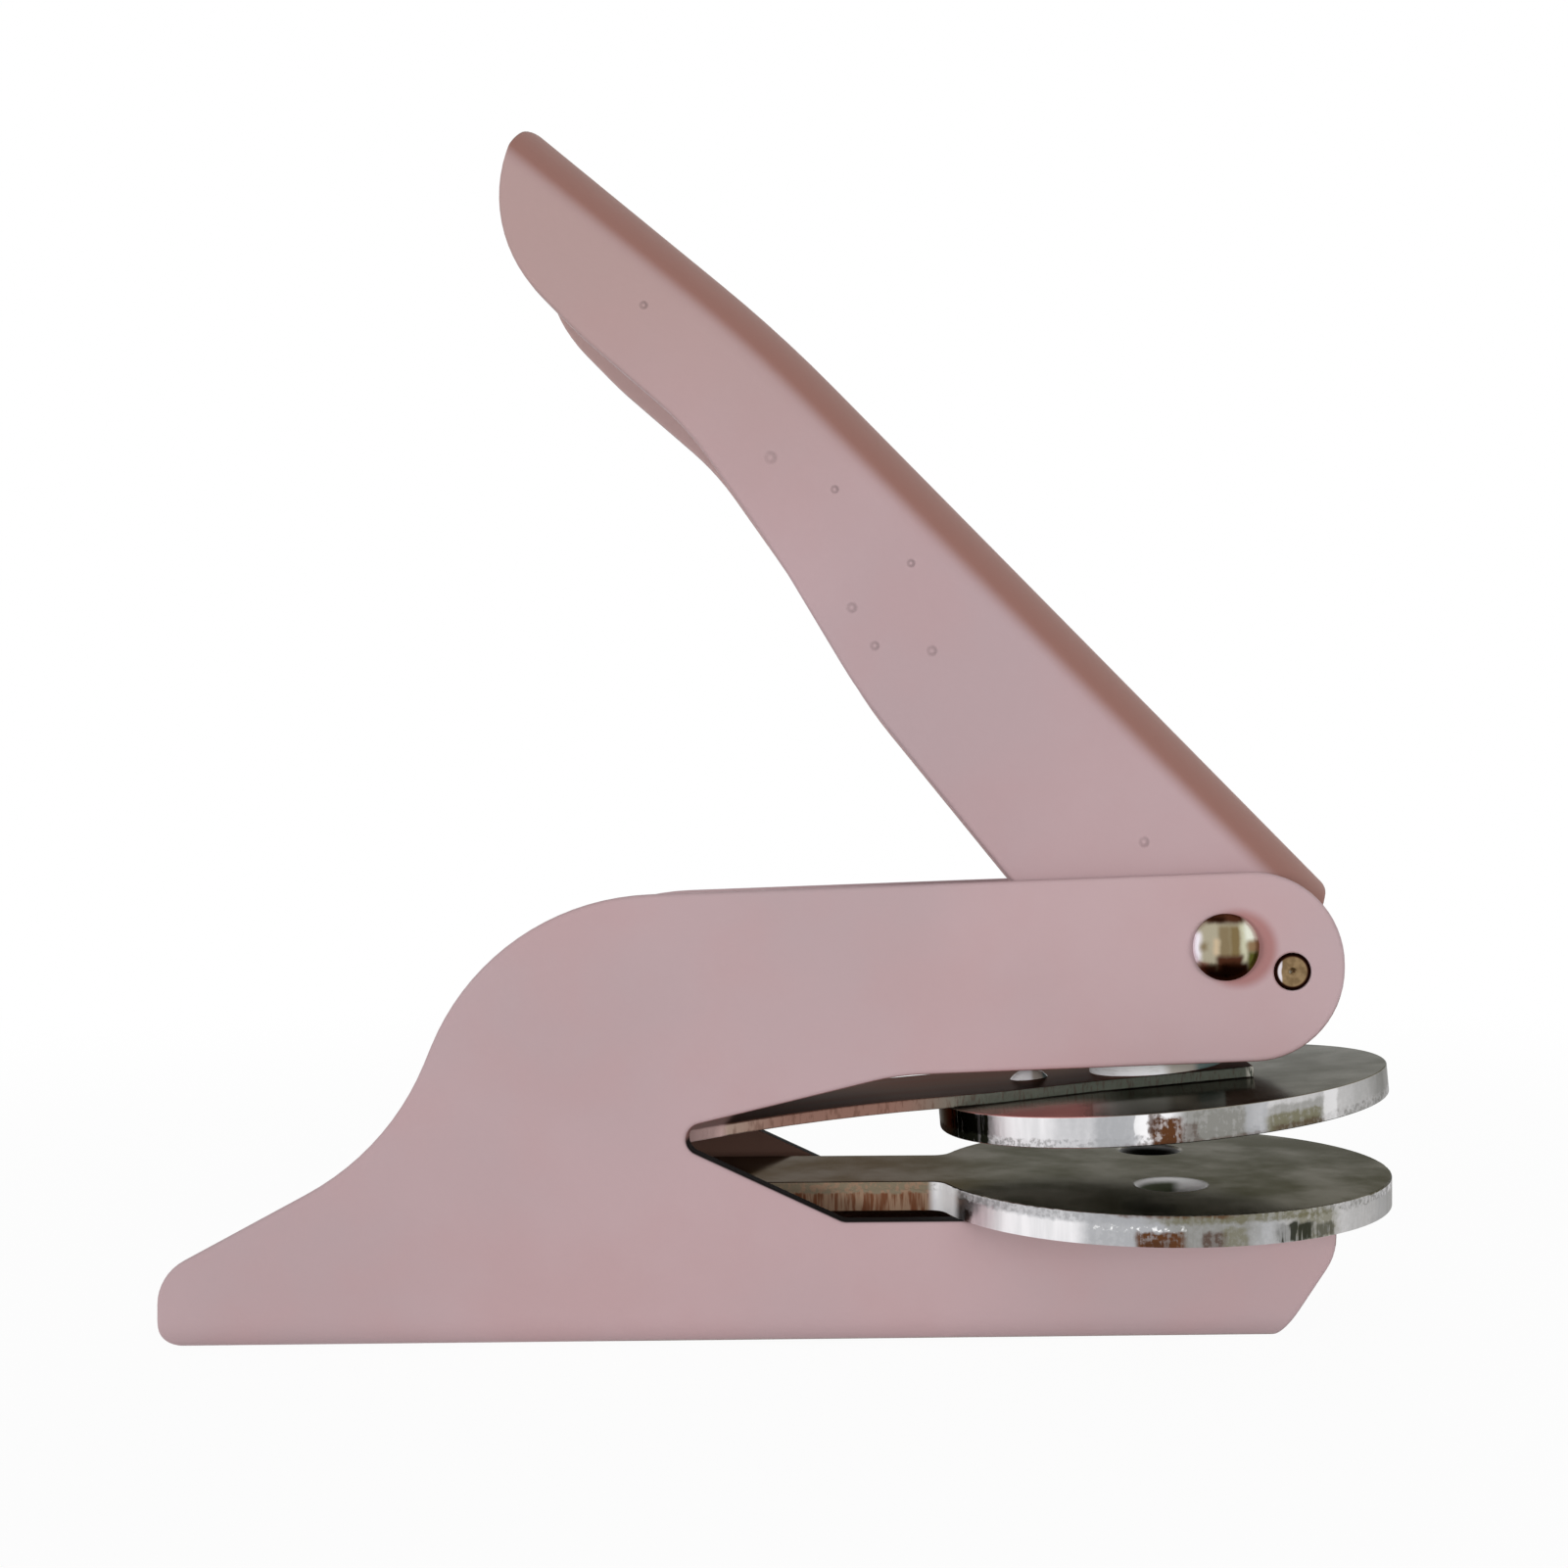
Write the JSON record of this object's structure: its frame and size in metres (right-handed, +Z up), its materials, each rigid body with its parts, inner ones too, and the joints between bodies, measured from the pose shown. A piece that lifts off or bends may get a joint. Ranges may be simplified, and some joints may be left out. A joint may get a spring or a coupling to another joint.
{
  "type": "seal embosser",
  "caption": "Hand seal embosser: a bent sheet channel base, a nested hand lever on a cross rivet, and a sprung round die plate that it presses onto a fixed one.",
  "frame": {"origin": "on the flat underside of the base, in the middle plane, straight below the centre of the lower die plate", "axes": "+X towards the open throat and the free end of the die plates, +Y across the press, away from the side that the picture shows, +Z up"},
  "size_m": [0.1299, 0.051, 0.1278],
  "materials": {
    "frame_paint": "satin pink powder coat",
    "lever_paint": "satin pink powder coat",
    "rivet_nickel": "bright nickel plate",
    "pin_nickel": "nickel plate, brushed end",
    "lower_plate_steel": "polished with sheared edges",
    "upper_plate_steel": "polished with sheared edges",
    "leaf_steel": "tempered spring steel",
    "rivet_steel": "plain steel",
    "post_steel": "turned steel",
    "block_steel": "sawn steel",
    "cam_steel": "greased steel",
    "spacer_steel": "plain tube"
  },
  "bodies": {
    "frame": {"frame_channel": "frame_paint", "pivot_rivet": "rivet_nickel", "stop_pin": "pin_nickel", "lower_die_plate": "lower_plate_steel", "root_block": "block_steel", "root_rivets": "rivet_steel"},
    "handle": {"handle_lever": "lever_paint", "press_cam": "cam_steel", "cam_rivet": "rivet_steel", "pivot_spacers": "spacer_steel"},
    "jaw": {"leaf_spring": "leaf_steel", "upper_die_plate": "upper_plate_steel", "leaf_rivet": "rivet_steel", "press_post": "post_steel"}
  },
  "joints": [
    {"name": "handle_hinge", "type": "hinge", "parent": "frame", "child": "handle", "pos_m": [0.00535, 0, 0.0414], "axis": [0, -1, 0], "range_deg": [0, 48]},
    {"name": "jaw_flex", "type": "hinge", "parent": "frame", "child": "jaw", "pos_m": [-0.052, 0, 0.0211], "axis": [0, 1, 0], "range_deg": [0, 5.03], "stiffness_Nm_per_rad": 15, "springref_deg": -1.72, "deforming": ["leaf_spring"]}
  ],
  "couplings": [
    {"joint": "jaw_flex", "follows": "handle_hinge", "ratio": 0.1046}
  ]
}
